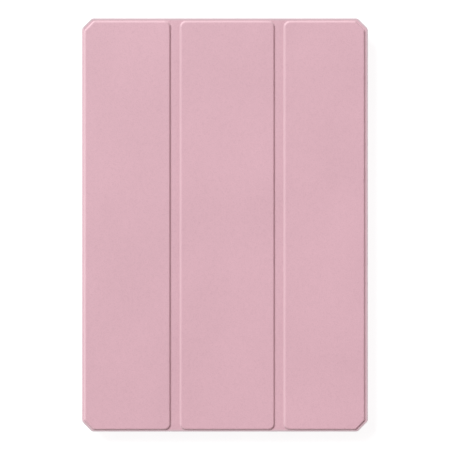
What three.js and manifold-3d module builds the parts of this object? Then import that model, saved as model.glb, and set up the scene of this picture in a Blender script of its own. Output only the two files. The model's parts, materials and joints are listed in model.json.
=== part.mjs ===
// Tri-fold folio case for a tablet, closed and lying on its back.
// Millimetres. +Z is up, out of the front cover; +Y runs along the case to its top edge, and +X
// across it to the free edge, so the spine is on the -X side. The origin is under the middle.
import * as THREE from "three";
import { mergeVertices } from "three/addons/utils/BufferGeometryUtils.js";
import Module from "manifold-3d";

const wasm = await Module();
wasm.setup();

// ---------------------------------------------------------------- driving dimensions

const TABLET = { width: 174.1, length: 250.6, thickness: 7.5, cornerRadius: 10 };
const CASE_WIDTH = 178.8;
const CASE_LENGTH = 258.2;
const CORNER_CUT = 6.4;
const CORNER_CUT_BLEND = 2.6;

// Across the front cover, from the spine to the free edge. They add up to the case's width.
const SPINE_EDGE = 1.4;
const PAD_1 = 54.4;
const FOLD_1 = 5.4;
const PAD_2 = 59.6;
const FOLD_2 = 5.3;
const PAD_3 = 51.1;

const PAD_TOP_EDGE = 1.6;
const PAD_BOTTOM_EDGE = 0.8;
const PAD_CORNER_CUT = 6;
const PAD_CORNER_RADIUS = 2.7;
const PAD_SLOPE = 1.2;

const LEATHER = 0.8;
const LINING = 0.4;
const BOARD = 1.2;
const SPINE_BOARD = 0.8;
const ADHESIVE = 0.2;
const TRAY_FLOOR = 1.2;
const TRAY_WALL = 1;
const TRAY_LIP = 0.7;
const COVER_GAP = 0.2;
const SPINE_GAP = 0.3;

const CREASE_RADIUS = 0.6;
const CREASE_GAP = 0.15;
const FOLD_2_STRIP = 2.7;
const SPINE_CLEARANCE = 0.9;
const BOARD_GAP = 0.3;

// ---------------------------------------------------------------- places worked out from them

const left = -CASE_WIDTH / 2;
const right = CASE_WIDTH / 2;
const top = CASE_LENGTH / 2;
const bottom = -CASE_LENGTH / 2;

const pad1 = { left: left + SPINE_EDGE, right: left + SPINE_EDGE + PAD_1 };
const pad2 = { left: pad1.right + FOLD_1, right: pad1.right + FOLD_1 + PAD_2 };
const pad3 = { left: pad2.right + FOLD_2, right: pad2.right + FOLD_2 + PAD_3 };

// Every fold strip bends along two creases. The first strip's are at the feet of its pads, and the
// second's are closer together, so that the third panel fits between the other two when folded.
const fold2Middle = (pad2.right + pad3.left) / 2;
const creases = {
  fold1: { left: pad1.right, right: pad2.left },
  fold2: { left: fold2Middle - FOLD_2_STRIP / 2, right: fold2Middle + FOLD_2_STRIP / 2 },
};

const backSkinTop = LEATHER;
const backLiningTop = backSkinTop + LINING;
const adhesiveTop = backLiningTop + ADHESIVE;
const trayFloorTop = adhesiveTop + TRAY_FLOOR;
const lipBottom = trayFloorTop + TABLET.thickness + 0.1;
const trayTop = lipBottom + TRAY_LIP;
const coverBottom = trayTop + COVER_GAP;
const coverLiningTop = coverBottom + LINING;
const flangeTop = coverLiningTop + LEATHER;
const boardTop = coverLiningTop + BOARD;
const padTop = boardTop + LEATHER;

const spineInside = left + LEATHER + SPINE_BOARD + LINING;
const creaseX = left + CREASE_RADIUS;
const spineBottom = CREASE_RADIUS + SPINE_CLEARANCE;
const spineTop = flangeTop - CREASE_RADIUS - SPINE_CLEARANCE;
const besideCrease = creaseX + CREASE_RADIUS;

const bay = {
  left: spineInside + SPINE_GAP + TRAY_WALL,
  right: spineInside + SPINE_GAP + TRAY_WALL + TABLET.width + 0.3,
  top: TABLET.length / 2 + 0.2,
  bottom: -TABLET.length / 2 - 0.2,
};
const tray = {
  left: bay.left - TRAY_WALL,
  right: bay.right + TRAY_WALL,
  top: bay.top + TRAY_WALL,
  bottom: bay.bottom - TRAY_WALL,
};
const camera = { x: bay.right - 14, y: bay.top - 14, radius: 6.5 };

// ---------------------------------------------------------------- outlines

// A closed outline through the given corners, each { x, y, blend }, where blend is the radius of
// the arc that rounds the corner. Corners run counter-clockwise.
function roundedOutline(corners) {
  const shape = new THREE.Shape();
  const points = corners.map((corner) => new THREE.Vector2(corner.x, corner.y));
  const outline = [];
  points.forEach((corner, i) => {
    const before = points[(i + points.length - 1) % points.length].clone().sub(corner).normalize();
    const after = points[(i + 1) % points.length].clone().sub(corner).normalize();
    const blend = corners[i].blend || 0;
    if (!blend) {
      outline.push(corner);
      return;
    }
    const half = Math.acos(THREE.MathUtils.clamp(before.dot(after), -1, 1)) / 2;
    const centre = before
      .clone()
      .add(after)
      .normalize()
      .multiplyScalar(blend / Math.sin(half))
      .add(corner);
    const start = corner.clone().addScaledVector(before, blend / Math.tan(half)).sub(centre);
    const sweep = Math.PI - 2 * half;
    const steps = Math.max(3, Math.round(sweep / (Math.PI / 18)));
    for (let step = 0; step <= steps; step += 1) {
      const angle = (sweep * step) / steps;
      outline.push(start.clone().rotateAround(new THREE.Vector2(), angle).add(centre));
    }
  });
  shape.setFromPoints(outline);
  return shape;
}

// A box seen from above. cut and blend say how each of its corners is taken off: cutLeft and
// cutRight are 45 degree cuts of that leg at the corners of that side, and blendLeft and
// blendRight round the corners of that side.
function panelOutline(box, { cutLeft = 0, cutRight = 0, blendLeft = 0, blendRight = 0 }) {
  const corners = [];
  const side = (x, y, cut, blend, towardsX, towardsY, acrossFirst) => {
    if (!cut) {
      corners.push({ x, y, blend });
      return;
    }
    const across = { x: x + towardsX * cut, y, blend };
    const along = { x, y: y + towardsY * cut, blend };
    corners.push(...(acrossFirst ? [across, along] : [along, across]));
  };
  side(box.left, box.bottom, cutLeft, blendLeft, 1, 1, false);
  side(box.right, box.bottom, cutRight, blendRight, -1, 1, true);
  side(box.right, box.top, cutRight, blendRight, -1, -1, false);
  side(box.left, box.top, cutLeft, blendLeft, 1, -1, true);
  return roundedOutline(corners);
}

function roundedBox(box, radius) {
  return panelOutline(box, { blendLeft: radius, blendRight: radius });
}

function inset(box, by) {
  return {
    left: box.left + by,
    right: box.right - by,
    top: box.top - by,
    bottom: box.bottom + by,
  };
}

function circle(x, y, radius) {
  const shape = new THREE.Shape();
  shape.absarc(x, y, radius, 0, 2 * Math.PI);
  return shape;
}

// ---------------------------------------------------------------- solids

// A solid between a lower and an upper outline with the same number of points, at exact heights.
function tapered(lower, upper, low, high) {
  const segments = 24;
  const lowerPoints = lower.extractPoints(segments).shape;
  const upperPoints = upper.extractPoints(segments).shape;
  const count = lowerPoints.length;
  const positions = [];
  lowerPoints.forEach((point) => positions.push(point.x, point.y, low));
  upperPoints.forEach((point) => positions.push(point.x, point.y, high));
  const indices = [];
  THREE.ShapeUtils.triangulateShape(lowerPoints, []).forEach(([a, b, c]) => {
    indices.push(a, c, b);
  });
  THREE.ShapeUtils.triangulateShape(upperPoints, []).forEach(([a, b, c]) => {
    indices.push(count + a, count + b, count + c);
  });
  for (let i = 0; i < count; i += 1) {
    const next = (i + 1) % count;
    indices.push(i, next, count + next);
    indices.push(i, count + next, count + i);
  }
  const geometry = new THREE.BufferGeometry();
  geometry.setAttribute("position", new THREE.Float32BufferAttribute(positions, 3));
  geometry.setIndex(indices);
  return geometry;
}

function layer(outline, low, high) {
  return tapered(outline, outline, low, high);
}

function block(box, low, high) {
  return layer(panelOutline(box, {}), low, high);
}

// A round-ended opening through a wall. It runs along "x" or "y", and is centred on (x, y, z).
function slot(along, x, y, z, width, height, length) {
  const shape = new THREE.Shape();
  const radius = height / 2;
  const reach = width / 2 - radius;
  shape.absarc(reach, 0, radius, -Math.PI / 2, Math.PI / 2);
  shape.absarc(-reach, 0, radius, Math.PI / 2, (3 * Math.PI) / 2);
  const geometry = new THREE.ExtrudeGeometry(shape, {
    depth: length,
    bevelEnabled: false,
    curveSegments: 10,
  });
  geometry.translate(0, 0, -length / 2);
  geometry.rotateX(Math.PI / 2);
  if (along === "x") geometry.rotateZ(Math.PI / 2);
  geometry.translate(x, y, z);
  return geometry;
}

function solidOf(geometry) {
  const bare = geometry.index ? geometry.toNonIndexed() : geometry.clone();
  bare.deleteAttribute("normal");
  bare.deleteAttribute("uv");
  const merged = mergeVertices(bare, 1e-4);
  return new wasm.Manifold(
    new wasm.Mesh({
      numProp: 3,
      vertProperties: merged.attributes.position.array,
      triVerts: new Uint32Array(merged.index.array),
    }),
  );
}

function geometryOf(solid) {
  const mesh = solid.getMesh();
  const positions = [];
  for (let i = 0; i < mesh.numVert; i += 1) {
    positions.push(...mesh.vertProperties.subarray(i * mesh.numProp, i * mesh.numProp + 3));
  }
  const geometry = new THREE.BufferGeometry();
  geometry.setAttribute("position", new THREE.Float32BufferAttribute(positions, 3));
  geometry.setIndex(Array.from(mesh.triVerts));
  return geometry;
}

function cut(geometry, ...tools) {
  return geometryOf(tools.reduce((solid, tool) => solid.subtract(solidOf(tool)), solidOf(geometry)));
}

function join(...geometries) {
  return geometryOf(geometries.map(solidOf).reduce((all, solid) => all.add(solid)));
}

// ---------------------------------------------------------------- materials

const finishes = {
  leather: { color: 0xd9b1ba, roughness: 0.62, metalness: 0 },
  lining: { color: 0xd8b4bc, roughness: 0.95, metalness: 0 },
  tray: { color: 0xd6a9b3, roughness: 0.5, metalness: 0 },
  board: { color: 0xb9ab98, roughness: 0.9, metalness: 0 },
  adhesive: { color: 0xe6e2d8, roughness: 0.4, metalness: 0 },
  steel: { color: 0x9a9c9f, roughness: 0.35, metalness: 1 },
  magnet: { color: 0xc4c6c8, roughness: 0.25, metalness: 1 },
};

function piece(name, finish, geometry) {
  geometry.computeVertexNormals();
  const mesh = new THREE.Mesh(geometry, new THREE.MeshStandardMaterial(finishes[finish]));
  mesh.name = name;
  return mesh;
}

// ---------------------------------------------------------------- back: leather, lining and tray

const wholeCover = { left: besideCrease, right, top, bottom };
const coverCuts = {
  cutLeft: CORNER_CUT - CREASE_RADIUS * 2,
  cutRight: CORNER_CUT,
  blendLeft: CORNER_CUT_BLEND,
  blendRight: CORNER_CUT_BLEND,
};

function cameraOpening(clearance) {
  return layer(circle(camera.x, camera.y, camera.radius + clearance), -1, trayFloorTop + 1);
}

function backSkin() {
  return cut(layer(panelOutline(wholeCover, coverCuts), 0, backSkinTop), cameraOpening(1.2));
}

function backLining() {
  const edge = 0.5;
  const sheet = { ...wholeCover, right: right - edge, top: top - edge, bottom: bottom + edge };
  return cut(layer(panelOutline(sheet, coverCuts), backSkinTop, backLiningTop), cameraOpening(1.2));
}

function trayAdhesiveSheet() {
  const sheet = inset(tray, 4);
  return cut(layer(roundedBox(sheet, 7), backLiningTop, adhesiveTop), cameraOpening(2));
}

// The openings in the tray's walls: width runs along the wall, and height up it.
const portHeight = 4.6;
const portZ = trayFloorTop + TABLET.thickness / 2;
const topPorts = {
  power_button: { x: bay.right - 22, width: 18 },
  headphone_jack: { x: bay.left + 15, width: 9 },
};
const bottomPorts = {
  speaker_left: { x: (bay.left + bay.right) / 2 - 34, width: 22 },
  charging_port: { x: (bay.left + bay.right) / 2, width: 16 },
  speaker_right: { x: (bay.left + bay.right) / 2 + 34, width: 22 },
};
const volumeButtons = { y: bay.top - 38, width: 26 };

function trayShell() {
  const cornerRadius = TABLET.cornerRadius + TRAY_WALL;
  const lipReach = 0.5;
  const lipCornerRadius = 17;
  const through = 8 * TRAY_WALL;
  const lip = roundedBox(inset(bay, lipReach), lipCornerRadius);
  const ports = [
    ...Object.values(topPorts).map((port) => ["y", port.x, tray.top, port.width]),
    ...Object.values(bottomPorts).map((port) => ["y", port.x, tray.bottom, port.width]),
    ["x", tray.right, volumeButtons.y, volumeButtons.width],
  ];
  return cut(
    layer(roundedBox(tray, cornerRadius), adhesiveTop, trayTop),
    layer(roundedBox(bay, TABLET.cornerRadius), trayFloorTop, lipBottom),
    layer(lip, lipBottom - 1, trayTop + 1),
    cameraOpening(0),
    ...ports.map(([along, x, y, width]) => slot(along, x, y, portZ, width, portHeight, through)),
  );
}

const back = new THREE.Group();
back.add(
  piece("back_skin", "leather", backSkin()),
  piece("back_lining", "lining", backLining()),
  piece("tray_adhesive_sheet", "adhesive", trayAdhesiveSheet()),
  piece("tray_shell", "tray", trayShell()),
);

// ---------------------------------------------------------------- spine

const spineEnd = top - CORNER_CUT;

function spineLayer(from, to, shorter, lower) {
  const box = { left: from, right: to, top: spineEnd - shorter, bottom: shorter - spineEnd };
  return block(box, spineBottom + lower, spineTop - lower);
}

const spine = new THREE.Group();
const spineBoardSide = left + LEATHER;
spine.add(
  piece("spine_skin", "leather", spineLayer(left, spineBoardSide, 0, 0)),
  piece("spine_board", "board", spineLayer(spineBoardSide, spineBoardSide + SPINE_BOARD, 3, 0.5)),
  piece("spine_lining", "lining", spineLayer(spineInside - LINING, spineInside, 0.5, 0)),
);

// ---------------------------------------------------------------- front cover: three panels

// The raised pad of a panel, with its sides sloping from the flange up to its flat top.
function pad({ left: padLeft, right: padRight }, cutSide) {
  const foot = {
    left: padLeft,
    right: padRight,
    top: top - PAD_TOP_EDGE,
    bottom: bottom + PAD_BOTTOM_EDGE,
  };
  const steeper = (2 - Math.SQRT2) * PAD_SLOPE;
  const corners = (smaller, cutLess) => ({
    cutLeft: cutSide === "left" ? PAD_CORNER_CUT - cutLess : 0,
    cutRight: cutSide === "right" ? PAD_CORNER_CUT - cutLess : 0,
    blendLeft: PAD_CORNER_RADIUS - smaller,
    blendRight: PAD_CORNER_RADIUS - smaller,
  });
  return tapered(
    panelOutline(foot, corners(0, 0)),
    panelOutline(inset(foot, PAD_SLOPE), corners(PAD_SLOPE, steeper)),
    flangeTop,
    padTop,
  );
}

// The stiff board sits under the pad, and the leather is pressed down round it.
function boardBox(padSpan, shrink) {
  const box = {
    left: padSpan.left,
    right: padSpan.right,
    top: top - PAD_TOP_EDGE,
    bottom: bottom + PAD_BOTTOM_EDGE,
  };
  return inset(box, LEATHER + PAD_SLOPE + shrink);
}

function boardOutline(padSpan, cutSide, shrink) {
  return panelOutline(boardBox(padSpan, shrink), {
    cutLeft: cutSide === "left" ? PAD_CORNER_CUT - 1 : 0,
    cutRight: cutSide === "right" ? PAD_CORNER_CUT - 1 : 0,
  });
}

function panelSkin(sheet, cuts, padSpan, cutSide) {
  return cut(
    join(layer(panelOutline(sheet, cuts), coverLiningTop, flangeTop), pad(padSpan, cutSide)),
    layer(boardOutline(padSpan, cutSide, 0), coverLiningTop - 1, boardTop),
  );
}

function panelBoard(padSpan, cutSide, pockets) {
  return cut(layer(boardOutline(padSpan, cutSide, BOARD_GAP), coverLiningTop, boardTop), ...pockets);
}

function panelLining(sheet, cuts, shorter) {
  const box = { ...sheet, top: top - shorter, bottom: bottom + shorter };
  return layer(panelOutline(box, cuts), coverBottom, coverLiningTop);
}

function pocket(box) {
  return block(inset(box, -BOARD_GAP), coverLiningTop - 1, padTop);
}

function around(x, y, width, length) {
  return { left: x - width / 2, right: x + width / 2, top: y + length / 2, bottom: y - length / 2 };
}

const liningEdge = 0.5;
const sheet1 = { left: besideCrease, right: creases.fold1.left - CREASE_GAP, top, bottom };
const sheet2 = {
  left: creases.fold1.right + CREASE_GAP,
  right: creases.fold2.left - CREASE_GAP,
  top,
  bottom,
};
const sheet3 = { left: creases.fold2.right + CREASE_GAP, right, top, bottom };
const cuts1 = { cutLeft: coverCuts.cutLeft, blendLeft: CORNER_CUT_BLEND };
const cuts3 = { cutRight: CORNER_CUT, blendRight: CORNER_CUT_BLEND };

// The first panel carries the steel strip that the closure magnets hold to when it stands.
const steelStrip = around((pad1.left + pad1.right) / 2 + 14, 0, 9, 190);
const STEEL_THICKNESS = 0.6;
const panel1 = new THREE.Group();
panel1.add(
  piece("panel_1_skin", "leather", panelSkin(sheet1, cuts1, pad1, "left")),
  piece("panel_1_board", "board", panelBoard(pad1, "left", [pocket(steelStrip)])),
  piece("panel_1_lining", "lining", panelLining(sheet1, cuts1, liningEdge)),
  piece(
    "panel_1_steel_strip",
    "steel",
    block(steelStrip, coverLiningTop, coverLiningTop + STEEL_THICKNESS),
  ),
);

const panel2 = new THREE.Group();
panel2.add(
  piece("panel_2_skin", "leather", panelSkin(sheet2, {}, pad2, "none")),
  piece("panel_2_board", "board", panelBoard(pad2, "none", [])),
  piece("panel_2_lining", "lining", panelLining(sheet2, {}, liningEdge)),
);

// The third panel holds the closure magnets along the free edge and the magnet that tells the
// tablet to sleep.
const MAGNET_THICKNESS = 1;
const closureMagnets = [-96, -38, 38, 96].map((y) => around(pad3.right - 6, y, 3, 10));
const sleepMagnet = { x: pad3.right - 6, y: 12, radius: 3 };
const sleepPocket = around(sleepMagnet.x, sleepMagnet.y, 2 * sleepMagnet.radius, 6);
const panel3 = new THREE.Group();
panel3.add(
  piece("panel_3_skin", "leather", panelSkin(sheet3, cuts3, pad3, "right")),
  piece(
    "panel_3_board",
    "board",
    panelBoard(pad3, "right", [...closureMagnets, sleepPocket].map(pocket)),
  ),
  piece(
    "panel_3_lining",
    "lining",
    panelLining({ ...sheet3, right: right - liningEdge }, cuts3, liningEdge),
  ),
  piece(
    "sleep_wake_magnet",
    "magnet",
    layer(
      circle(sleepMagnet.x, sleepMagnet.y, sleepMagnet.radius),
      coverLiningTop,
      coverLiningTop + MAGNET_THICKNESS,
    ),
  ),
);
closureMagnets.forEach((box, i) => {
  const magnet = block(box, coverLiningTop, coverLiningTop + MAGNET_THICKNESS);
  panel3.add(piece(`closure_magnet_${i + 1}`, "magnet", magnet));
});

// ---------------------------------------------------------------- front cover: two fold strips

function foldStrip(name, crease) {
  const strip = { left: crease.left + CREASE_GAP, right: crease.right - CREASE_GAP, top, bottom };
  const group = new THREE.Group();
  group.add(
    piece(`${name}_skin`, "leather", block(strip, coverLiningTop, flangeTop)),
    piece(`${name}_lining`, "lining", panelLining(strip, {}, liningEdge)),
  );
  return group;
}

const tabletCase = new THREE.Group();
tabletCase.name = "tablet_case";
tabletCase.add(
  back,
  spine,
  panel1,
  foldStrip("fold_1", creases.fold1),
  panel2,
  foldStrip("fold_2", creases.fold2),
  panel3,
);

export default tabletCase;
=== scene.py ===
import json
import math

import bmesh
import bpy
import numpy as np
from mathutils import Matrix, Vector


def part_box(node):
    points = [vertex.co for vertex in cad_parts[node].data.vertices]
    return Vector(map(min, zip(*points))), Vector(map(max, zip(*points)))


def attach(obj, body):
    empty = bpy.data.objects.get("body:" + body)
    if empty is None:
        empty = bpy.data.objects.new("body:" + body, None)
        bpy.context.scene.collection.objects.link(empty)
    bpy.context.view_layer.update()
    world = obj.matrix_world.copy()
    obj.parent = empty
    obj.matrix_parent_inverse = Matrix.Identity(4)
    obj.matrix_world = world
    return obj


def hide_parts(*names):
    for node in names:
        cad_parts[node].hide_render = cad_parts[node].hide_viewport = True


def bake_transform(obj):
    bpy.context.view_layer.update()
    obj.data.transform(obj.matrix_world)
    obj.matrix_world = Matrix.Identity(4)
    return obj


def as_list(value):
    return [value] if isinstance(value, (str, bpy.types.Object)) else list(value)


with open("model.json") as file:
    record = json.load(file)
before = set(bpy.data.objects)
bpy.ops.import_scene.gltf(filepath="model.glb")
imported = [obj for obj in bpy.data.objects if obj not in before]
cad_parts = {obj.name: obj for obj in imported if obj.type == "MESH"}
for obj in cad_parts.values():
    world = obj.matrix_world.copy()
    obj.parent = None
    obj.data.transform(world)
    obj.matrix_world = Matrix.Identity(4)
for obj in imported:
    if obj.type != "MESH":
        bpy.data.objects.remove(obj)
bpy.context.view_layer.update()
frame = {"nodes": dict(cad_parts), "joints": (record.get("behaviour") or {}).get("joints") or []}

# The looks of a tri-fold tablet case. Shapes are worked out in millimetres and become metres when a
# mesh is made. The outer leather and the lining are each one sheet that starts at the free edge of
# the back, wraps the spine and ends at the free edge of the cover. Both are cut into pieces where
# the sheet is flat, so that no piece crosses more than one crease.

MM = 0.001
MERGE_METRES = 1e-7


# ------------------------------------------------------------------ sizes read from the frame

def node_box(node):
    low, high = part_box(node)
    return np.array(low) / MM, np.array(high) / MM


def joint_at(name):
    joint = next(j for j in frame["joints"] if j["name"] == name)
    return np.array(joint["pos_m"]) / MM


LEFT = node_box("spine_skin")[0][0]
RIGHT, TOP = node_box("panel_3_skin")[1][:2]
BOTTOM = node_box("panel_3_skin")[0][1]
FLANGE_TOP = node_box("fold_1_skin")[1][2]
PAD_TOP = node_box("panel_2_skin")[1][2]
LINING_TOP = node_box("fold_1_lining")[1][2]
COVER_BOTTOM = node_box("fold_1_lining")[0][2]
LEATHER = FLANGE_TOP - LINING_TOP
LINING = LINING_TOP - COVER_BOTTOM
SPINE_BOARD = node_box("spine_board")
TRAY = node_box("tray_shell")

CREASE_NAMES = ("spine_back", "fold_1_left", "fold_1_right", "fold_2_left", "fold_2_right")
CREASE = {name: joint_at(f"{name}_crease") for name in CREASE_NAMES}
FOLD_1_MIDDLE = (CREASE["fold_1_left"][0] + CREASE["fold_1_right"][0]) / 2
FOLD_2_MIDDLE = (CREASE["fold_2_left"][0] + CREASE["fold_2_right"][0]) / 2
PANEL_1_SEAM = LEFT + 5.4
PANEL_2_SEAM = FOLD_2_MIDDLE - 11.0
SPINE_MIDDLE = FLANGE_TOP / 2

# The cover's outline is that of the CAD solids. The pads are a little steeper and rounder than the
# CAD's, as the photograph shows them.
CORNER_CUT = 6.4
CORNER_BLEND = 2.6
PAD_CUT = 6.0
PAD_CUT_RADIUS = 1.6
PAD_FOLD_RADIUS = 4.0
BOARD_TO_PAD_FOOT = 2.3
PAD_SLOPE = 0.90
PAD_FILLET = 0.08
PAD_ROLL = 0.13
PAD_HEADROOM = 0.03
FOLD_SWELL = 0.07
FOLD_SWELL_FADE = 3.0
SPINE_RADIUS = 1.4
LINING_SET_BACK = 0.5
PAST_SPINE = 30.0

# The tray's wall, floor and lip, and the camera hole through tray, lining and leather.
TRAY_WALL = 1.0
TRAY_FLOOR = 1.2
TRAY_LIP = 0.7
CAMERA_FROM_BAY_CORNER = 14.0
CAMERA_X, CAMERA_Y = TRAY[1][:2] - TRAY_WALL - CAMERA_FROM_BAY_CORNER
CAMERA_RADIUS = 6.5
LEATHER_HOLE_RADIUS = 7.7
LEATHER_HOLE_HALF_SQUARE = 11.0


# ------------------------------------------------------------------ outlines and relief

def smooth(t):
    t = np.clip(t, 0.0, 1.0)
    return t * t * (3 - 2 * t)


def half_length(x, inset=0.0):
    """How far from the middle the cover's end is at x: straight, and cut off at both corners."""
    top = TOP - inset
    side = np.maximum(np.minimum(RIGHT - inset - x, x - LEFT), 0.0)
    tangent = CORNER_BLEND * math.tan(math.pi / 8)
    near_end = np.maximum(CORNER_BLEND**2 - (CORNER_CUT + tangent - side) ** 2, 0.0)
    near_side = np.maximum(CORNER_BLEND**2 - (CORNER_BLEND - side) ** 2, 0.0)
    reach = np.full_like(side, top)
    reach = np.where(side < CORNER_CUT + tangent, top - CORNER_BLEND + np.sqrt(near_end), reach)
    reach = np.where(side < CORNER_CUT - tangent / math.sqrt(2), top - CORNER_CUT + side, reach)
    rounded = top - CORNER_CUT - tangent + np.sqrt(near_side)
    return np.where(side < tangent / math.sqrt(2), rounded, reach)


def cut_outline(left, right, bottom, top, cuts, inset):
    """A convex outline, counter-clockwise from the lower left, moved inwards by inset. cuts are the
    45 degree cuts of its left and right corners."""
    left, right, bottom, top = left + inset, right - inset, bottom + inset, top - inset
    less = (2 - math.sqrt(2)) * inset
    on_left, on_right = (max(cut - less, 0.0) for cut in cuts)
    points = [(left, bottom + on_left), (left + on_left, bottom)] if on_left else [(left, bottom)]
    if on_right:
        points += [(right - on_right, bottom), (right, bottom + on_right)]
        points += [(right, top - on_right), (right - on_right, top)]
    else:
        points += [(right, bottom), (right, top)]
    points += [(left + on_left, top), (left, top - on_left)] if on_left else [(left, top)]
    return np.array(points)


def depth_inside(x, y, outline):
    """How far each point is inside a convex outline, and below zero outside it."""
    nearest = np.full(x.shape, np.inf)
    inside = np.full(x.shape, np.inf)
    for a, b in zip(outline, np.roll(outline, -1, axis=0)):
        edge = b - a
        along = ((x - a[0]) * edge[0] + (y - a[1]) * edge[1]) / (edge @ edge)
        along = np.clip(along, 0.0, 1.0)
        nearest = np.minimum(nearest, np.hypot(x - a[0] - along * edge[0], y - a[1] - along * edge[1]))
        across = edge[0] * (y - a[1]) - edge[1] * (x - a[0])
        inside = np.minimum(inside, across / math.sqrt(edge @ edge))
    return np.where(inside >= 0, nearest, -nearest)


def pad_foot(panel):
    """The foot of a panel's pad: left, right, bottom and top, and the cuts of its corners."""
    low, high = node_box(f"panel_{panel}_board")
    cuts = {1: (PAD_CUT, 0.0), 2: (0.0, 0.0), 3: (0.0, PAD_CUT)}[panel]
    (left, bottom), (right, top) = low[:2] - BOARD_TO_PAD_FOOT, high[:2] + BOARD_TO_PAD_FOOT
    return (left, right, bottom, top), cuts


PADS = [pad_foot(panel) for panel in (1, 2, 3)]
PAD_EDGES = [side for (left, right, _, _), _ in PADS for side in (left, right)]
FOLD_CHANNELS = (PAD_EDGES[1:3], PAD_EDGES[3:5])


def pad_depth(x, y):
    """How far inside the foot of a pad each point is. The corners beside a fold are rounded more
    than those of the cover's own outline."""
    depth = np.full(x.shape, -np.inf)
    for (left, right, bottom, top), cuts in PADS:
        sharp = cut_outline(left, right, bottom, top, cuts, PAD_CUT_RADIUS)
        past_left, past_right = (2 * CORNER_CUT if cut else 0.0 for cut in cuts)
        soft = cut_outline(left - past_left, right + past_right, bottom, top, (0, 0), PAD_FOLD_RADIUS)
        from_cuts = depth_inside(x, y, sharp) + PAD_CUT_RADIUS
        from_folds = depth_inside(x, y, soft) + PAD_FOLD_RADIUS
        depth = np.maximum(depth, np.minimum(from_cuts, from_folds))
    return depth


def undulation(x, y):
    """The slow unevenness of leather over board, a few hundredths of a millimetre."""
    return (
        0.012 * np.sin(x / 17.0 + 0.6) * np.cos(y / 23.0)
        + 0.010 * np.sin(y / 11.0 + 1.7) * np.sin(x / 9.0 + y / 31.0)
        + 0.006 * np.sin(x / 5.0 - y / 7.0)
    )


def fold_swell(x, y):
    """The leather stands a little proud along the middle of both fold channels."""
    swell = np.zeros(x.shape)
    for left, right in FOLD_CHANNELS:
        across = np.clip((x - left) / (right - left), 0, 1)
        swell += FOLD_SWELL * 4 * across * (1 - across)
    return swell * smooth((TOP - np.abs(y)) / FOLD_SWELL_FADE)


def pad_relief(x, y):
    """The pads' height over the flange: steep at the foot and rolling over softly at the top."""
    depth = np.maximum(pad_depth(x, y), 0.0)
    t = (np.hypot(depth, PAD_FILLET) - PAD_FILLET) / PAD_SLOPE
    at_foot = (1 - math.sqrt(1 + PAD_ROLL**2)) / 2
    rise = ((t + 1 - np.sqrt((t - 1) ** 2 + PAD_ROLL**2)) / 2 - at_foot) / (1 - at_foot)
    height = PAD_TOP - FLANGE_TOP - PAD_HEADROOM
    return rise * height + rise * undulation(x, y) + fold_swell(x, y)


# ------------------------------------------------------------------ the sheet's path
#
# A path is a row of stations in the XZ plane: x and z, and the outward normal's x and z.

def stations(low, high, places, fine=0.16, coarse=4.0, reach=1.7, growth=0.35, samples=6001):
    """Positions from low to high, fine apart round each of the places and coarse elsewhere."""
    x = np.linspace(low, high, samples)
    away = np.full(x.shape, np.inf)
    for place in places:
        away = np.minimum(away, np.abs(x - place))
    step = np.clip(fine + growth * np.maximum(away - reach, 0), fine, coarse)
    cells = np.concatenate([[0.0], np.cumsum(np.diff(x) / step[:-1])])
    return np.interp(np.linspace(0, cells[-1], int(math.ceil(cells[-1])) + 1), cells, x)


def flat_path(xs, z, up):
    return [(x, z, 0.0, up) for x in xs]


def arc_path(centre_z, from_deg, to_deg, steps=12):
    centre_x = LEFT + SPINE_RADIUS
    path = []
    for angle in np.radians(np.linspace(from_deg, to_deg, steps + 1)):
        nx, nz = math.cos(angle), math.sin(angle)
        path.append((centre_x + SPINE_RADIUS * nx, centre_z + SPINE_RADIUS * nz, nx, nz))
    return path


def spine_path(low, high, places):
    return [(LEFT, z, -1.0, 0.0) for z in stations(low, high, places, fine=0.2, coarse=1.0)]


def joined(first, *others):
    path = list(first)
    for part in others:
        path += part[1:]
    return np.array(path)


def back_path(right):
    """From the back's free edge, under the tray, round the lower corner and half way up the spine."""
    start = LEFT + SPINE_RADIUS
    xs = stations(start, right, [start, right], reach=1.0)[::-1]
    return joined(
        flat_path(xs, 0.0, -1.0),
        arc_path(SPINE_RADIUS, 270, 180),
        spine_path(SPINE_RADIUS, SPINE_MIDDLE, [SPINE_RADIUS]),
    )


def spine_to_cover_path():
    """From half way up the spine, round the upper corner to the seam on the first pad."""
    corner = FLANGE_TOP - SPINE_RADIUS
    xs = stations(LEFT + SPINE_RADIUS, PANEL_1_SEAM, [LEFT + SPINE_RADIUS])
    return joined(
        spine_path(SPINE_MIDDLE, corner, [corner]),
        arc_path(corner, 180, 90),
        flat_path(xs, FLANGE_TOP, 1.0),
    )


def cover_path(low, high):
    """A flat stretch of cover, finer at pad edges, creases and cut corners."""
    creases = [CREASE[name][0] for name in CREASE if name.startswith("fold")]
    corners = [RIGHT, RIGHT - 2, RIGHT - 4, RIGHT - 6, LEFT + 3, LEFT + 5, LEFT + 7]
    return np.array(flat_path(stations(low, high, PAD_EDGES + creases + corners), FLANGE_TOP, 1.0))


def path_length(path):
    steps = np.diff(path[:, :2], axis=0)
    return float(np.hypot(steps[:, 0], steps[:, 1]).sum())


# ------------------------------------------------------------------ meshes

def mesh_object(name, vertices, faces, materials=(), face_materials=None):
    mesh = bpy.data.meshes.new(name)
    mesh.from_pydata([tuple(v) for v in np.asarray(vertices) * MM], [], faces)
    for material in materials:
        mesh.materials.append(material)
    if face_materials is not None:
        mesh.polygons.foreach_set("material_index", face_materials)
    mesh.polygons.foreach_set("use_smooth", [True] * len(mesh.polygons))
    mesh.validate()
    mesh.update()
    piece = bpy.data.objects.new(name, mesh)
    bpy.context.scene.collection.objects.link(piece)
    return piece


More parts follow.
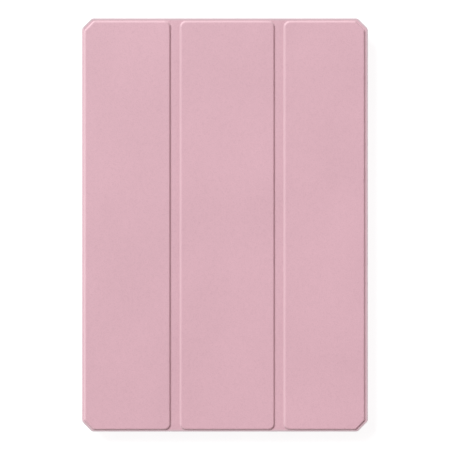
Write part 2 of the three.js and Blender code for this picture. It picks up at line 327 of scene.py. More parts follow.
def face_outwards(piece, sharp_deg):
    """Turns every face outwards, and keeps edges sharper than sharp_deg hard."""
    shell = bmesh.new()
    shell.from_mesh(piece.data)
    bmesh.ops.remove_doubles(shell, verts=shell.verts, dist=MERGE_METRES)
    bmesh.ops.recalc_face_normals(shell, faces=shell.faces)
    for edge in shell.edges:
        edge.smooth = edge.calc_face_angle(0.0) < math.radians(sharp_deg)
    shell.to_mesh(piece.data)
    shell.free()
    piece.data.update()
    return piece


def strip(ring_a, ring_b):
    """The faces between two closed rings of vertex numbers."""
    pairs_a = zip(ring_a, ring_a[1:] + ring_a[:1])
    pairs_b = zip(ring_b, ring_b[1:] + ring_b[:1])
    return [(a, next_a, next_b, b) for (a, next_a), (b, next_b) in zip(pairs_a, pairs_b)]


def ring_strips(rings, size):
    """The faces along a stack of rings that have size points each."""
    numbers = [list(range(r * size, (r + 1) * size)) for r in range(len(rings))]
    return [face for pair in zip(numbers, numbers[1:]) for face in strip(*pair)], numbers


def loft(name, rings, materials=()):
    """A closed solid through a stack of rings."""
    faces, numbers = ring_strips(rings, len(rings[0]))
    faces += [tuple(numbers[0]), tuple(numbers[-1])]
    vertices = [point for ring in rings for point in ring]
    return face_outwards(mesh_object(name, vertices, faces, materials), sharp_deg=35)


# ------------------------------------------------------------------ sheets
#
# A sheet is a grid of columns across the path and rows along Y, with an outer and an inner face.

ROWS_NEAR_ENDS = [0.0, 0.6, 1.2, 1.8, 2.4, 3.0, 3.6, 4.2, 4.8]
END_BAND = 14.0
HOLE_RING_SHARES = (0.25, 0.5, 0.75, 0.93)
HOLE_LIPS = (0.12, 0.06)
HOLE_LIP_START = 0.3

# The material slots of a sheet's faces.
FACE, CUT_EDGE = 0, 1


def rows_for(reach):
    """Row positions from one end of a column to the other, for every column. Near the ends they
    keep their distance from the end, so that they follow the cut corners."""
    length = 2 * TOP
    places = ROWS_NEAR_ENDS + [length - place for place in ROWS_NEAR_ENDS]
    v = stations(0, length, places, reach=0.4)
    y = np.empty((len(reach), len(v)))
    for i, half in enumerate(reach):
        ends = [-half, END_BAND - half, half - END_BAND, half]
        y[i] = np.interp(v, [0, END_BAND, length - END_BAND, length], ends)
    return y


def vertex_number(shape, i, j, side):
    return (side * shape[0] + i) * shape[1] + j


def cells_round(hole, path, y):
    """The block of cells that a round hole and its rim take the place of."""
    hole_x, hole_y, _, half_square = hole
    across = np.flatnonzero(np.abs(path[:, 0] - hole_x) < half_square)
    across = across[np.abs(path[across, 3]) > 0.9]
    middle = across[len(across) // 2]
    along = np.flatnonzero(np.abs(y[middle] - hole_y) < half_square)
    return across[0], across[-1], along[0], along[-1]


def grid_faces(shape, block):
    """The cells of both faces, apart from those in the block."""
    i0, i1, j0, j1 = block
    at = vertex_number
    faces = []
    for i in range(shape[0] - 1):
        for j in range(shape[1] - 1):
            if i0 <= i < i1 and j0 <= j < j1:
                continue
            corners = [(i, j), (i + 1, j), (i + 1, j + 1), (i, j + 1)]
            faces.append(tuple(at(shape, *corner, 0) for corner in corners))
            faces.append(tuple(at(shape, *corner, 1) for corner in corners[:1] + corners[:0:-1]))
    return faces


def outline_of(i0, i1, j0, j1):
    """The grid points round a block, in order."""
    points = [(i, j0) for i in range(i0, i1)] + [(i1, j) for j in range(j0, j1)]
    return points + [(i, j1) for i in range(i1, i0, -1)] + [(i0, j) for j in range(j1, j0, -1)]


def hole_rings(surface, wall, square, hole, lip):
    """Rings of points from a square of grid points in to a round hole. Its edge rolls over by lip,
    in the direction that wall gives, which is up or down."""
    hole_x, hole_y, radius, _ = hole
    corner = np.array([surface[i, j] for i, j in square])
    centre = np.array([hole_x, hole_y, corner[0][2]])
    unit = corner - centre
    unit = unit / np.linalg.norm(unit[:, :2], axis=1)[:, None]
    unit[:, 2] = 0
    circle = centre + unit * radius
    steps = [(share, 0) for share in HOLE_RING_SHARES]
    steps += [(1 - HOLE_LIP_START * lip, HOLE_LIP_START * lip), (1, lip)]
    rings = []
    for share, drop in steps:
        ring = corner + (circle - corner) * share
        ring[:, 2] = corner[:, 2] + wall * drop
        rings.append(ring)
    return rings


def hole_mesh(surfaces, shape, block, hole):
    """The points that a hole adds, the faces of both its rims, and those of its wall."""
    square = outline_of(*block)
    total = 2 * shape[0] * shape[1]
    points, faces, edges = [], [], []
    for side, lip in enumerate(HOLE_LIPS):
        wall = np.sign(surfaces[1 - side][square[0]][2] - surfaces[side][square[0]][2])
        ring = [vertex_number(shape, i, j, side) for i, j in square]
        for new in hole_rings(surfaces[side], wall, square, hole, lip):
            start = total + len(points)
            points += list(new)
            within = list(range(start, start + len(square)))
            faces += strip(ring, within)
            ring = within
        edges.append(ring)
    return points, faces, strip(*edges)


def sheet_mesh(name, path, reach, outer, inner, materials, hole=None, marks=()):
    """A closed sheet along path. outer and inner give the two faces' distance from the path, along
    its normal, at (x, y, path index); reach is the half length at each station. hole is a round
    opening: (x, y, radius, half size of the square of cells that its rim replaces). marks are
    (name, function) pairs of values for the outer face that its material reads."""
    y = rows_for(reach)
    px, pz, nx, nz = (np.repeat(path[:, k : k + 1], y.shape[1], axis=1) for k in range(4))
    index = np.repeat(np.arange(len(path))[:, None], y.shape[1], axis=1)
    surfaces = []
    for offset in (outer(px, y, index), inner(px, y, index)):
        surfaces.append(np.stack([px + nx * offset, y, pz + nz * offset], axis=-1))
    vertices = np.concatenate([surface.reshape(-1, 3) for surface in surfaces])

    block = cells_round(hole, path, y) if hole else (0, 0, 0, 0)
    rim = outline_of(0, y.shape[0] - 1, 0, y.shape[1] - 1)
    rims = [[vertex_number(y.shape, i, j, side) for i, j in rim] for side in (0, 1)]
    groups = [(grid_faces(y.shape, block), FACE), (strip(*rims), CUT_EDGE)]
    if hole:
        points, rim_faces, wall_faces = hole_mesh(surfaces, y.shape, block, hole)
        vertices = np.concatenate([vertices, points])
        groups += [(rim_faces, FACE), (wall_faces, CUT_EDGE)]
    faces = [face for group, _ in groups for face in group]
    kinds = [kind for group, kind in groups for _ in group]
    piece = mesh_object(name, vertices, faces, materials, kinds)
    for mark, value in marks:
        values = np.zeros(len(vertices))
        values[: y.size] = value(px, y, index).reshape(-1)
        piece.data.attributes.new(mark, "FLOAT", "POINT").data.foreach_set("value", values)
    return face_outwards(piece, sharp_deg=50)


def edge_distance(x, y, inset=0.0):
    """How far each point of a sheet is from the sheet's free edges. The spine's side isn't one."""
    sides = (LEFT - PAST_SPINE, RIGHT - inset, BOTTOM + inset, TOP - inset)
    right = depth_inside(x, y, cut_outline(*sides, (0, CORNER_CUT), 0))
    ends = (half_length(x, inset) - np.abs(y)) * np.where(x < LEFT + CORNER_CUT, math.sqrt(0.5), 1.0)
    return np.minimum(np.abs(right), np.maximum(ends, 0.0))


def edge_drop(x, y, inset, radius):
    """How far a face falls back at the sheet's cut edge, which is worn round to this radius."""
    depth = np.clip(edge_distance(x, y, inset), 0.0, radius)
    return radius - np.sqrt(np.maximum(radius**2 - (radius - depth) ** 2, 0.0))


# ------------------------------------------------------------------ materials

class NodeTree:
    """Short ways to add nodes to a material or a world. Each of them returns the node's output."""

    def __init__(self, owner, coordinates):
        owner.use_nodes = True
        self.nodes = owner.node_tree.nodes
        self.links = owner.node_tree.links
        self.place = self.nodes.new("ShaderNodeTexCoord").outputs[coordinates]

    def connect(self, value, socket):
        if isinstance(value, bpy.types.NodeSocket):
            self.links.new(value, socket)
        else:
            socket.default_value = value

    def add(self, kind, output, inputs, **settings):
        node = self.nodes.new(f"ShaderNode{kind}")
        for setting, value in settings.items():
            setattr(node, setting, value)
        for socket, value in inputs.items():
            self.connect(value, node.inputs[socket])
        return node.outputs[output]

    def stretched(self, scale):
        return self.add("Mapping", "Vector", {"Vector": self.place, "Scale": scale})

    def noise(self, scale, detail=3.0, roughness=0.5, distortion=0.0, place=None):
        inputs = {"Scale": scale, "Detail": detail, "Roughness": roughness, "Distortion": distortion}
        inputs["Vector"] = self.place if place is None else place
        return self.add("TexNoise", "Fac", inputs)

    def ramp(self, value, start, end):
        """A colour from start to end, which are (value, colour) pairs."""
        colour = self.add("ValToRGB", "Color", {"Fac": value})
        for element, (position, shade) in zip(colour.node.color_ramp.elements, (start, end)):
            element.position = position
            element.color = (*shade, 1.0)
        return colour

    def between(self, value, low, high):
        return self.add("MapRange", "Result", {"Value": value, "To Min": low, "To Max": high})

    def math(self, operation, a, b):
        return self.add("Math", "Value", {0: a, 1: b}, operation=operation)

    def weighted(self, a, share_a, b, share_b):
        return self.math("ADD", self.math("MULTIPLY", a, share_a), self.math("MULTIPLY", b, share_b))

    def mix(self, share, a, b, blend_type="MIX"):
        inputs = {"Factor": share, "A": a, "B": b}
        return self.add("Mix", "Result", inputs, data_type="RGBA", blend_type=blend_type)

    def bump(self, height, distance, strength):
        return self.add("Bump", "Normal", {"Height": height, "Distance": distance, "Strength": strength})

    def attribute(self, name):
        return self.add("Attribute", "Fac", {}, attribute_name=name)


def new_material(name, roughness, **constants):
    """A material, its node tree and its shader's inputs, with the constants set on them."""
    material = bpy.data.materials.new(name)
    tree = NodeTree(material, "Object")
    shader = tree.nodes["Principled BSDF"].inputs
    shader["Roughness"].default_value = roughness
    for socket, value in constants.items():
        shader[socket.replace("_", " ")].default_value = value
    return material, tree, shader


def tinted(colour, by):
    return tuple(min(max(c * by, 0.0), 1.0) for c in colour)


LEATHER_PINK = (0.640, 0.390, 0.442)
# Painted highlight: the pads' bevels are painted paler and less red than the leather, so that their lit
# sides read whiter.
BEVEL_HIGHLIGHT_PINK = (0.612, 0.402, 0.440)
# A paler grey-pink: at the free edges partly edge wear and partly painted sheen, and round the spine's
# corners painted sheen.
WEAR_AND_SHEEN_PINK = (0.590, 0.446, 0.474)
LINING_PINK = (0.600, 0.392, 0.432)
TRAY_PINK = (0.590, 0.340, 0.392)
PIT_SHADE = (0.93, 0.91, 0.92)
WHITE = (1.0, 1.0, 1.0)
PEBBLE_WOBBLE = 0.0006
RUBBED_GLOSS = 0.10
RUBBED_GRAIN = 0.6
PORE_SHARE = 0.35


def pebble_grain(tree):
    """The distance across rounded cells that wobble a little, as in embossed leather."""
    wobble = tree.add("TexNoise", "Color", {"Vector": tree.place, "Scale": 700})
    warped = {0: wobble, 1: (PEBBLE_WOBBLE,) * 3, 2: tree.place}
    place = tree.add("VectorMath", "Vector", warped, operation="MULTIPLY_ADD")
    cells = {"Vector": place, "Scale": 1500, "Smoothness": 0.6}
    return tree.add("TexVoronoi", "Distance", cells, feature="SMOOTH_F1")


def leather_colour(tree, colour, mottle, pebble, bevel, wear_and_sheen):
    """Cloudy pink with darker pits. The pads' bevels are painted paler and less red, a painted highlight;
    the free edges and the spine's corners turn a paler grey-pink, which at the free edges is partly edge
    wear and partly painted sheen, and round the spine's corners is painted sheen.
    """
    shade = tree.weighted(tree.noise(scale=22, detail=2.0), 0.55, mottle, 0.45)
    base = tree.ramp(shade, (0.30, tinted(colour, 0.955)), (0.70, tinted(colour, 1.04)))
    pits = tree.ramp(pebble, (0.35, WHITE), (0.85, PIT_SHADE))
    # Painted highlight: every bevel is coloured paler.
    painted_bevel_highlight = tree.ramp(shade, (0.30, tinted(BEVEL_HIGHLIGHT_PINK, 0.97)), (0.70, BEVEL_HIGHLIGHT_PINK))
    # Edge wear and painted sheen: the free edges and the spine's corners turn a paler grey-pink.
    wear_and_sheen_colour = tree.ramp(shade, (0.30, tinted(WEAR_AND_SHEEN_PINK, 0.95)), (0.70, WEAR_AND_SHEEN_PINK))
    coloured = tree.mix(bevel, tree.mix(1.0, base, pits, "MULTIPLY"), painted_bevel_highlight)
    return tree.mix(wear_and_sheen, coloured, wear_and_sheen_colour)


def leather_material(name, colour, grain=1.0, roughness=0.50):
    """Soft coated leather: a fine pebble grain, faint mottling and a low sheen. Its bevels, its free edges
    and its turns round the spine's corners are smoother; their paler colours are a painted highlight on
    the bevels, edge wear and painted sheen at the free edges, and painted sheen round the spine's corners."""
    material, tree, shader = new_material(name, roughness, Specular_IOR_Level=0.5)
    mottle = tree.noise(scale=420, detail=4.0, roughness=0.6)
    pebble = pebble_grain(tree)
    bevel = tree.attribute("bevel_highlight_and_gloss")
    wear_and_sheen = tree.attribute("wear_and_sheen")
    tree.connect(leather_colour(tree, colour, mottle, pebble, bevel, wear_and_sheen), shader["Base Color"])

    matt = tree.between(mottle, roughness - 0.07, roughness + 0.08)
    rubbed = tree.weighted(bevel, RUBBED_GLOSS, wear_and_sheen, RUBBED_GLOSS)
    tree.connect(tree.math("SUBTRACT", matt, rubbed), shader["Roughness"])

    raised = tree.math("SUBTRACT", 1.0, pebble)
    pores = tree.math("MULTIPLY", tree.noise(scale=4200, detail=2.0), PORE_SHARE)
    kept_grain = tree.math("SUBTRACT", 1.0, tree.math("MULTIPLY", wear_and_sheen, RUBBED_GRAIN))
    height = tree.math("MULTIPLY", tree.math("ADD", raised, pores), kept_grain)
    tree.connect(tree.bump(height, distance=0.00006 * grain, strength=0.5), shader["Normal"])
    return material


def lining_material(name, colour):
    """Microfibre: short brushed fibres, cloudy where the pile lies in different directions."""
    constants = {"Specular IOR Level": 0.15, "Sheen Weight": 0.35, "Sheen Roughness": 0.4}
    material, tree, shader = new_material(name, 0.95, **constants)
    along = tree.stretched((1.0, 0.7, 1.0))
    pile = tree.noise(scale=60, detail=3.0, roughness=0.5, place=along)
    fibres = tree.noise(scale=5200, detail=3.0, roughness=0.65, place=along)
    shade = tree.weighted(pile, 0.6, fibres, 0.4)
    base = tree.ramp(shade, (0.32, tinted(colour, 0.95)), (0.68, tinted(colour, 1.03)))
    tree.connect(base, shader["Base Color"])
    tree.connect(tree.bump(fibres, distance=0.00008, strength=0.55), shader["Normal"])
    return material


def moulded_material(name, colour, roughness=0.46):
    """Moulded plastic with a fine spark-eroded texture."""
    material, tree, shader = new_material(name, roughness, Specular_IOR_Level=0.45)
    flow = tree.noise(scale=14, detail=2.0)
    texture = tree.noise(scale=3600, detail=2.0, roughness=0.55)
    base = tree.ramp(flow, (0.30, tinted(colour, 0.97)), (0.70, tinted(colour, 1.03)))
    tree.connect(base, shader["Base Color"])
    tree.connect(tree.between(texture, roughness - 0.06, roughness + 0.08), shader["Roughness"])
    tree.connect(tree.bump(texture, distance=0.00003, strength=0.4), shader["Normal"])
    return material


def board_material(name):
    """Grey-brown pressed board with fibres in it."""
    material, tree, shader = new_material(name, 0.92)
    fibres = tree.noise(scale=900, detail=5.0, roughness=0.7, distortion=1.2)
    base = tree.ramp(fibres, (0.3, (0.36, 0.30, 0.22)), (0.7, (0.52, 0.45, 0.36)))
    tree.connect(base, shader["Base Color"])
    tree.connect(tree.bump(fibres, distance=0.0001, strength=0.5), shader["Normal"])
    return material


def metal_material(name, colour, roughness, stretch):
    """Bare or plated metal with a brushed or faintly mottled finish."""
    material, tree, shader = new_material(name, roughness, Metallic=1.0)
    lines = tree.noise(scale=2500, detail=3.0, place=tree.stretched(stretch))
    base = tree.ramp(lines, (0.3, tinted(colour, 0.9)), (0.7, tinted(colour, 1.08)))
    tree.connect(base, shader["Base Color"])
    tree.connect(tree.between(lines, roughness - 0.06, roughness + 0.1), shader["Roughness"])
    tree.connect(tree.bump(lines, distance=0.00002, strength=0.3), shader["Normal"])
    return material


def adhesive_material(name):
    """A thin milky transfer film."""
    material, tree, shader = new_material(name, 0.35)
    bubbles = tree.noise(scale=600, detail=2.0)
    base = tree.ramp(bubbles, (0.3, (0.70, 0.67, 0.60)), (0.7, (0.82, 0.79, 0.73)))
    tree.connect(base, shader["Base Color"])
    tree.connect(tree.bump(bubbles, distance=0.00005, strength=0.3), shader["Normal"])
    return material


leather = leather_material("pink_leather", LEATHER_PINK)
leather_edge = leather_material("pink_leather_edge", tinted(LEATHER_PINK, 0.97), grain=0.5, roughness=0.7)
lining = lining_material("pink_lining", LINING_PINK)
lining_edge = lining_material("pink_lining_edge", tinted(LINING_PINK, 0.95))
plastic = moulded_material("pink_tray_plastic", TRAY_PINK)


# ------------------------------------------------------------------ leather and lining pieces

LEATHER_EDGE_RADIUS = 0.14
LEATHER_BACK_RADIUS = 0.1
LINING_EDGE_RADIUS = 0.2
GLUE_GAP = 0.01
BEVEL_FOOT, BEVEL_FOOT_FADE = -0.1, 0.15
BEVEL_TOP, BEVEL_TOP_FADE = PAD_SLOPE + 0.2, 0.25
# Where the paler grey-pink of edge wear and painted sheen lies: a band along the free edges, and the
# spine's corners, where the leather tilts.
WEAR_AND_SHEEN_WIDTH = 0.7
SHEEN_TILT, SHEEN_TILT_SPREAD = 0.6, 0.4
GROOVE_DEPTH, GROOVE_PLACE, GROOVE_WIDTH = 0.20, 0.4, 0.7
CHANNEL_DEPTH, CHANNEL_FADE = 0.08, 0.6
BOARD_COVER = 0.6


def on_cover(path):
    return path[:, 3] > 0.9


def leather_piece(name, path, hole=None):
    cover = on_cover(path)

    def raised(x, y, index):
        return np.where(cover[index], pad_relief(x, y), 0.0)

    def outer(x, y, index):
        return raised(x, y, index) - edge_drop(x, y, 0.0, LEATHER_EDGE_RADIUS)

    def inner(x, y, index):
        return raised(x, y, index) - LEATHER + edge_drop(x, y, 0.0, LEATHER_BACK_RADIUS)

    # The bevel mask: it makes the bevels glossier, and paints them a paler colour that is a painted
    # highlight.
    def bevel(x, y, index):
        depth = pad_depth(x, y)
        past_foot = smooth((depth - BEVEL_FOOT) / BEVEL_FOOT_FADE)
        below_top = smooth((BEVEL_TOP - depth) / BEVEL_TOP_FADE)
        return np.where(cover[index], past_foot * below_top, 0.0)

    def wear_and_sheen(x, y, index):
        """At the free edges, where the paler grey-pink is partly edge wear and partly painted sheen, and
        where the leather turns round the spine's corners, where it is painted sheen.
        """
        flatness = np.abs(path[index, 3])
        corner = np.maximum(1 - np.abs(flatness - SHEEN_TILT) / SHEEN_TILT_SPREAD, 0.0)
        corner = np.where(flatness > 0.999, 0.0, corner)
        return np.maximum(corner, 1 - smooth((edge_distance(x, y) - WEAR_AND_SHEEN_WIDTH) / WEAR_AND_SHEEN_WIDTH))

    marks = [("bevel_highlight_and_gloss", bevel), ("wear_and_sheen", wear_and_sheen)]
    skins = [leather, leather_edge]
    piece = sheet_mesh(name, path, half_length(path[:, 0]), outer, inner, skins, hole, marks)
    return piece


def spine_board_mask(z, y):
    """1 over the spine's board, falling to 0 just outside it."""
    low, high = SPINE_BOARD
    across = np.minimum(z - low[2], high[2] - z) / BOARD_COVER + 1
    along = (high[1] - np.abs(y)) / BOARD_COVER + 1
    return smooth(across) * smooth(along)


def lining_groove(x, y):
    """The line pressed into the lining where it is welded to the leather round each board."""
    depth = pad_depth(x, y)
    line = np.exp(-(((depth - GROOVE_PLACE) / GROOVE_WIDTH) ** 2))
    channel = smooth(-depth / CHANNEL_FADE)
    return GROOVE_DEPTH * line + CHANNEL_DEPTH * channel


def lining_piece(name, path, hole=None):
    cover = on_cover(path)
    reach = half_length(path[:, 0], LINING_SET_BACK)
    board = SPINE_BOARD[1][0] - SPINE_BOARD[0][0]
    on_spine = np.abs(path[:, 2]) > 0.99

    def over_board(y, index):
        return np.where(on_spine[index], board * spine_board_mask(path[index, 1], y), 0.0)

    def outer(x, y, index):
        return -LEATHER - over_board(y, index) - GLUE_GAP

    def inner(x, y, index):
        groove = np.where(cover[index], lining_groove(x, y), 0.0)
        edge = edge_drop(x, y, LINING_SET_BACK, LINING_EDGE_RADIUS)
        return -LEATHER - LINING - over_board(y, index) + groove + edge

    piece = sheet_mesh(name, path, reach, outer, inner, [lining, lining_edge], hole)
    return piece


# Each sheet turns from its first body to its second between two (x, z) points. On the spine the
# turn stays clear of the board and of both flat stretches, which must not move with it.
FLAT_GAP = 0.05
FOLD_1_BEND = 1.0
FOLD_2_BEND = 0.8
SPINE_X = CREASE["spine_back"][0]
BACK_LINING_TOP = LEATHER + LINING


def across_fold(name, half_width):
    x, _, z = CREASE[name]
    return (x - half_width, z), (x + half_width, z)


SHEETS = {
    "back": {
        "path": (back_path(RIGHT), back_path(RIGHT - LINING_SET_BACK)),
        "bodies": ("back", "spine"),
        "bend": ((SPINE_X, BACK_LINING_TOP + FLAT_GAP), (SPINE_X, SPINE_BOARD[0][2])),
        "replaces": ["back"],
        "rests_on": ["tray_shell"],
        "hole": (CAMERA_X, CAMERA_Y, LEATHER_HOLE_RADIUS, LEATHER_HOLE_HALF_SQUARE),
    },
    "spine": {
        "path": (spine_to_cover_path(),) * 2,
        "bodies": ("spine", "panel_1"),
        "bend": ((SPINE_X, SPINE_BOARD[1][2]), (SPINE_X, COVER_BOTTOM - FLAT_GAP)),
        "replaces": ["spine"],
        "rests_on": ["spine_board"],
    },
    "panel_1": {
        "path": (cover_path(PANEL_1_SEAM, FOLD_1_MIDDLE),) * 2,
        "bodies": ("panel_1", "fold_1"),
        "bend": across_fold("fold_1_left", FOLD_1_BEND),
        "replaces": ["panel_1", "fold_1"],
        "rests_on": ["panel_1_board"],
    },
    "panel_2": {
        "path": (cover_path(FOLD_1_MIDDLE, PANEL_2_SEAM),) * 2,
        "bodies": ("fold_1", "panel_2"),
        "bend": across_fold("fold_1_right", FOLD_1_BEND),
        "replaces": ["panel_2"],
        "rests_on": ["panel_2_board"],
    },
    "fold_2": {
        "path": (cover_path(PANEL_2_SEAM, FOLD_2_MIDDLE),) * 2,
        "bodies": ("panel_2", "fold_2"),
        "bend": across_fold("fold_2_left", FOLD_2_BEND),
        "replaces": ["fold_2"],
        "rests_on": ["panel_2_board"],
    },
    "panel_3": {
        "path": (cover_path(FOLD_2_MIDDLE, RIGHT), cover_path(FOLD_2_MIDDLE, RIGHT - LINING_SET_BACK)),
        "bodies": ("fold_2", "panel_3"),
        "bend": across_fold("fold_2_right", FOLD_2_BEND),
        "replaces": ["panel_3"],
        "rests_on": ["panel_3_board"],
    },
}


def fix_to_frame(piece, sheet, path, kind):
    """Bakes a sheet's piece into place and hides the CAD nodes that it stands for."""
    start, end = (Vector((x, 0.0, z)) * MM for x, z in sheet["bend"])
    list(sheet["bodies"])
    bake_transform(piece)
    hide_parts(*(f"{node}_{kind}" for node in sheet["replaces"]))
    flat = (path_length(path) * MM, (TOP - BOTTOM) * MM)
    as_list(sheet["rests_on"])


def make_sheets():
    for name, sheet in SHEETS.items():
        outside, inside = sheet["path"]
        skin = leather_piece(f"leather_{name}", outside, sheet.get("hole"))
        cloth = lining_piece(f"lining_{name}", inside, sheet.get("hole"))
        fix_to_frame(skin, sheet, outside, "skin")
        fix_to_frame(cloth, sheet, inside, "lining")


make_sheets()


# ------------------------------------------------------------------ tray

TRAY_RADIUS = 11.0
LEAST_TRAY_RADIUS = 5.0
LIP_CORNER_RADIUS = 17.0
LIP_REACH = TRAY_WALL + 0.5
LIP_BLEND = 0.4
LIP_BLEND_START = TRAY_WALL - 0.05
RIM_MIDDLE = 0.35
FLOOR_START = 6.0
CORNER_STEPS = 14
PORT_STEPS = 32
CAMERA_STEPS = 64

# The ports, as width and as distance from the bay's side, from its top or from its middle.
PORT_HEIGHT = 4.6
PORT_EASE = 0.3
PORT_ABOVE_FLOOR = 3.75
PORT_PLUG_REACH = 4.0
POWER_WIDTH, POWER_FROM_RIGHT = 18, 22
JACK_WIDTH, JACK_FROM_LEFT = 9, 15
SPEAKER_WIDTH, SPEAKER_FROM_MIDDLE = 22, 34
CHARGING_WIDTH = 16
VOLUME_WIDTH, VOLUME_FROM_TOP = 26, 38
CAMERA_EASE = 0.25
CAMERA_PLUG_REACH = 2.0


def rounded_ring(inset, radius, z):
    """The tray's outline moved inwards, as a ring of points that match those of its other rings."""
    low, high = TRAY[0] + inset + radius, TRAY[1] - inset - radius
    centres = [(high[0], high[1], 0), (low[0], high[1], 90), (low[0], low[1], 180), (high[0], low[1], 270)]
    ring = []
    for cx, cy, start in centres:
        for step in range(CORNER_STEPS + 1):
            angle = math.radians(start + 90 * step / CORNER_STEPS)
            ring.append((cx + radius * math.cos(angle), cy + radius * math.sin(angle), z))
    return ring


def rounded_profile(corners, steps=4):
    """The points of an (inset, z, radius) profile, with each corner rounded by its radius."""
    places = [np.array(corner[:2]) for corner in corners]
    profile = []
    for i, (here, (_, _, radius)) in enumerate(zip(places, corners)):
        if not radius:
            profile.append(here)
            continue
        before = places[i - 1] - here
        after = places[(i + 1) % len(places)] - here
        before, after = before / np.linalg.norm(before), after / np.linalg.norm(after)
        for t in np.arange(steps + 1) / steps:
            a, b = here + before * radius * (1 - t), here + after * radius * t
            profile.append(a * (1 - t) + b * t)
    return profile


def tray_profile():
    """From the middle of the underside, up the outside, over the rim and down to the floor."""
    low, high = TRAY[0][2], TRAY[1][2]
    return rounded_profile([
        (FLOOR_START, low, 0),
        (0.0, low, 0.8),
        (0.0, high, 0.35),
        (LIP_REACH, high, 0.25),
        (LIP_REACH, high - TRAY_LIP, 0.15),
        (TRAY_WALL, high - TRAY_LIP, 0.1),
        (TRAY_WALL, low + TRAY_FLOOR, 0.7),
        (FLOOR_START, low + TRAY_FLOOR, 0),
    ])


def corner_radius(inset, z):
    """The tray's corners follow its outline. The lip's are much rounder, to hold the tablet's."""
    over_bay = z > TRAY[1][2] - TRAY_LIP - LIP_BLEND and inset > RIM_MIDDLE
    share = smooth((inset - LIP_BLEND_START) / LIP_BLEND) if over_bay else 0.0
    return (1 - share) * max(TRAY_RADIUS - inset, LEAST_TRAY_RADIUS) + share * LIP_CORNER_RADIUS


def ports():
    """Each port: the axis that it runs along, its x and y, and its width."""
    low, high = TRAY
    bay_left, bay_right, bay_top = low[0] + TRAY_WALL, high[0] - TRAY_WALL, high[1] - TRAY_WALL
    in_top, in_bottom, in_right = (
        high[1] - TRAY_WALL / 2, low[1] + TRAY_WALL / 2, high[0] - TRAY_WALL / 2
    )
    middle = (low[0] + high[0]) / 2
    return [
        ("y", bay_right - POWER_FROM_RIGHT, in_top, POWER_WIDTH),
        ("y", bay_left + JACK_FROM_LEFT, in_top, JACK_WIDTH),
        ("y", middle - SPEAKER_FROM_MIDDLE, in_bottom, SPEAKER_WIDTH),
        ("y", middle, in_bottom, CHARGING_WIDTH),
        ("y", middle + SPEAKER_FROM_MIDDLE, in_bottom, SPEAKER_WIDTH),
        ("x", in_right, bay_top - VOLUME_FROM_TOP, VOLUME_WIDTH),
    ]


def eased_depths(low, high, ease, past):
    """(depth, growth) of a cutter's rings: flared where it enters and leaves the wall."""
    return [(low - past, ease), (low, ease), (low + ease, 0),
            (high - ease, 0), (high, ease), (high + past, ease)]


def port_cutter(width, along, place):
    """A round-ended plug whose ends flare, so that the opening it cuts has eased edges."""
    half = width / 2 - PORT_HEIGHT / 2
    wall = TRAY_WALL / 2
    rings = []
    for depth, grow in eased_depths(-wall, wall, PORT_EASE, PORT_PLUG_REACH - wall):
        ring = []
        for k in range(PORT_STEPS):
            angle = 2 * math.pi * (k + 0.5) / PORT_STEPS
            side = half if math.cos(angle) > 0 else -half
            across = side + (PORT_HEIGHT / 2 + grow) * math.cos(angle)
            up = (PORT_HEIGHT / 2 + grow) * math.sin(angle)
            point = (across, depth, up) if along == "y" else (depth, across, up)
            ring.append(np.array(place) + point)
        rings.append(ring)
    return loft("cutter", rings)


def round_cutter(x, y, radius, low, high):
    """A round plug with flared ends."""
    angles = [2 * math.pi * k / CAMERA_STEPS for k in range(CAMERA_STEPS)]
    rings = []
    for z, grow in eased_depths(low, high, CAMERA_EASE, CAMERA_PLUG_REACH):
        size = radius + grow
        rings.append([(x + size * math.cos(angle), y + size * math.sin(angle), z) for angle in angles])
    return loft("cutter", rings)


def cut_away(piece, cutter):
    modifier = piece.modifiers.new("opening", "BOOLEAN")
    modifier.object = cutter
    modifier.operation = "DIFFERENCE"
    modifier.solver = "EXACT"
    bpy.context.view_layer.update()
    evaluated = piece.evaluated_get(bpy.context.evaluated_depsgraph_get())
    mesh = bpy.data.meshes.new_from_object(evaluated)
    piece.modifiers.clear()
    piece.data = mesh
    bpy.data.objects.remove(cutter)


def make_tray():
    rings = [rounded_ring(inset, corner_radius(inset, z), z) for inset, z in tray_profile()]
    tray = loft("tray", rings, [plastic])
    low = TRAY[0][2]
    for along, x, y, width in ports():
        place = (x, y, low + TRAY_FLOOR + PORT_ABOVE_FLOOR)
        cut_away(tray, port_cutter(width, along, place))
    cut_away(tray, round_cutter(CAMERA_X, CAMERA_Y, CAMERA_RADIUS, low, low + TRAY_FLOOR))
    face_outwards(tray, sharp_deg=35)
    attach(tray, "back")
    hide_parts("tray_shell")


make_tray()


# ------------------------------------------------------------------ CAD pieces that stay

STEEL_GREY = (0.56, 0.57, 0.58)
NICKEL_GREY = (0.72, 0.72, 0.73)


def finish_cad_pieces():
    """Boards, adhesive, steel and magnets keep their CAD shapes and get their materials."""
    adhesive = adhesive_material("transfer_adhesive")
    steel = metal_material("steel_strip", STEEL_GREY, roughness=0.36, stretch=(1, 0.02, 1))
    board = board_material("stiffener_board")
    magnet = metal_material("magnet_plating", NICKEL_GREY, roughness=0.26, stretch=(1, 1, 1))
    finishes = {"tray_adhesive_sheet": adhesive, "panel_1_steel_strip": steel, "sleep_wake_magnet": magnet}
    finishes |= {f"{name}_board": board for name in ("spine", "panel_1", "panel_2", "panel_3")}
    finishes |= {f"closure_magnet_{i}": magnet for i in range(1, 5)}
    for node, finish in finishes.items():
        slots = frame["nodes"][node].data.materials
        for index in range(len(slots)):
            slots[index] = finish
        if not slots:
            slots.append(finish)


finish_cad_pieces()


# ------------------------------------------------------------------ stage, light and camera

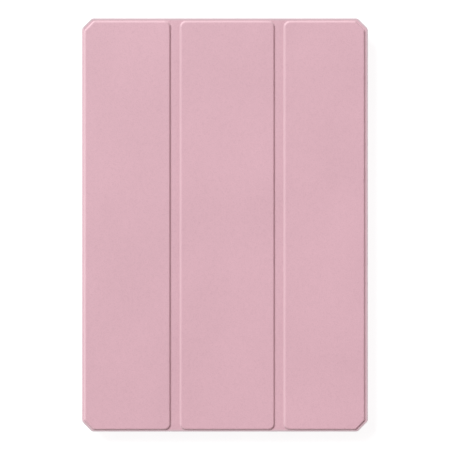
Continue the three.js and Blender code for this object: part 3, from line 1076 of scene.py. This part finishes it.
FLOOR_FLAT = 2400.0
FLOOR_RINGS = (40.0, 400.0, FLOOR_FLAT)
FLOOR_RISE = 900.0
FLOOR_SIDES = 96
FLOOR_DROP = 0.05
FLOOR_GREY = (0.16, 0.16, 0.16, 1)
FLOOR_GLOW = 0.90
PICTURE_WIDTH = 281.25
CAMERA_SHIFT = (0.14, -0.05)
LENS, SENSOR = 100, 36
KEY_FROM, KEY_COLOUR = (-0.46, 0.56, 0.69), (0.912, 1.068, 1.06)
SOFTBOX_FROM, SOFTBOX_COLOUR = (-0.76, 0.26, 0.60), (0.95, 1.03, 1.03)
LIT_FROM = (-0.20, 0.82, 0.54)
DARK_SIDE = (0.11, 0.03, 0.045)
LIGHT_SIDE = (0.86, 0.715, 0.745)


def floor_material():
    """Pale and even, and bright enough to read as a white studio floor in any view."""
    material, _, shader = new_material("pale_floor", 0.85, Specular_IOR_Level=0.1)
    shader["Base Color"].default_value = FLOOR_GREY
    shader["Emission Color"].default_value = (*WHITE, 1)
    shader["Emission Strength"].default_value = FLOOR_GLOW
    return material


def make_floor():
    """A wide pale floor that curves up far behind, on every side."""
    profile = [(radius, 0.0) for radius in FLOOR_RINGS]
    for angle in np.radians(range(10, 71, 10)):
        profile.append((FLOOR_FLAT + FLOOR_RISE * math.sin(angle), FLOOR_RISE * (1 - math.cos(angle))))
    turns = [2 * math.pi * k / FLOOR_SIDES for k in range(FLOOR_SIDES)]
    rings = [[(r * math.cos(t), r * math.sin(t), z - FLOOR_DROP) for t in turns] for r, z in profile]
    faces, numbers = ring_strips(rings, FLOOR_SIDES)
    vertices = [point for ring in rings for point in ring]
    floor = mesh_object("floor", vertices, [tuple(numbers[0])] + faces, [floor_material()])


def make_light(name, direction, distance, size, power, colour):
    data = bpy.data.lights.new(name, "AREA")
    data.shape = "DISK"
    data.size = size
    data.energy = power
    data.color = colour
    lamp = bpy.data.objects.new(name, data)
    bpy.context.scene.collection.objects.link(lamp)
    lamp.location = Vector(direction).normalized() * distance
    lamp.rotation_euler = Vector(direction).to_track_quat("Z", "Y").to_euler()


def make_camera():
    """Looks straight down at the cover. At the flange, the picture is PICTURE_WIDTH wide."""
    data = bpy.data.cameras.new("camera")
    data.lens = LENS
    data.sensor_width = SENSOR
    camera = bpy.data.objects.new("camera", data)
    bpy.context.scene.collection.objects.link(camera)
    height = FLANGE_TOP + PICTURE_WIDTH * LENS / SENSOR
    camera.location = Vector((*CAMERA_SHIFT, height)) * MM
    bpy.context.scene.camera = camera


def make_world():
    """A studio that is brightest past the case's top edge and dark past its bottom edge."""
    world = bpy.data.worlds.new("studio")
    tree = NodeTree(world, "Generated")
    facing = tree.add("VectorMath", "Value", {0: tree.place, 1: LIT_FROM}, operation="DOT_PRODUCT")
    light = tree.ramp(facing, (0.0, DARK_SIDE), (0.9, LIGHT_SIDE))
    tree.connect(light, tree.nodes["Background"].inputs["Color"])
    bpy.context.scene.world = world


make_floor()
make_light("key", KEY_FROM, distance=20.0, size=6.4, power=3430, colour=KEY_COLOUR)
make_light("left softbox", SOFTBOX_FROM, distance=18.0, size=7.0, power=620, colour=SOFTBOX_COLOUR)
make_camera()
make_world()
bpy.context.scene.view_settings.view_transform = "Standard"
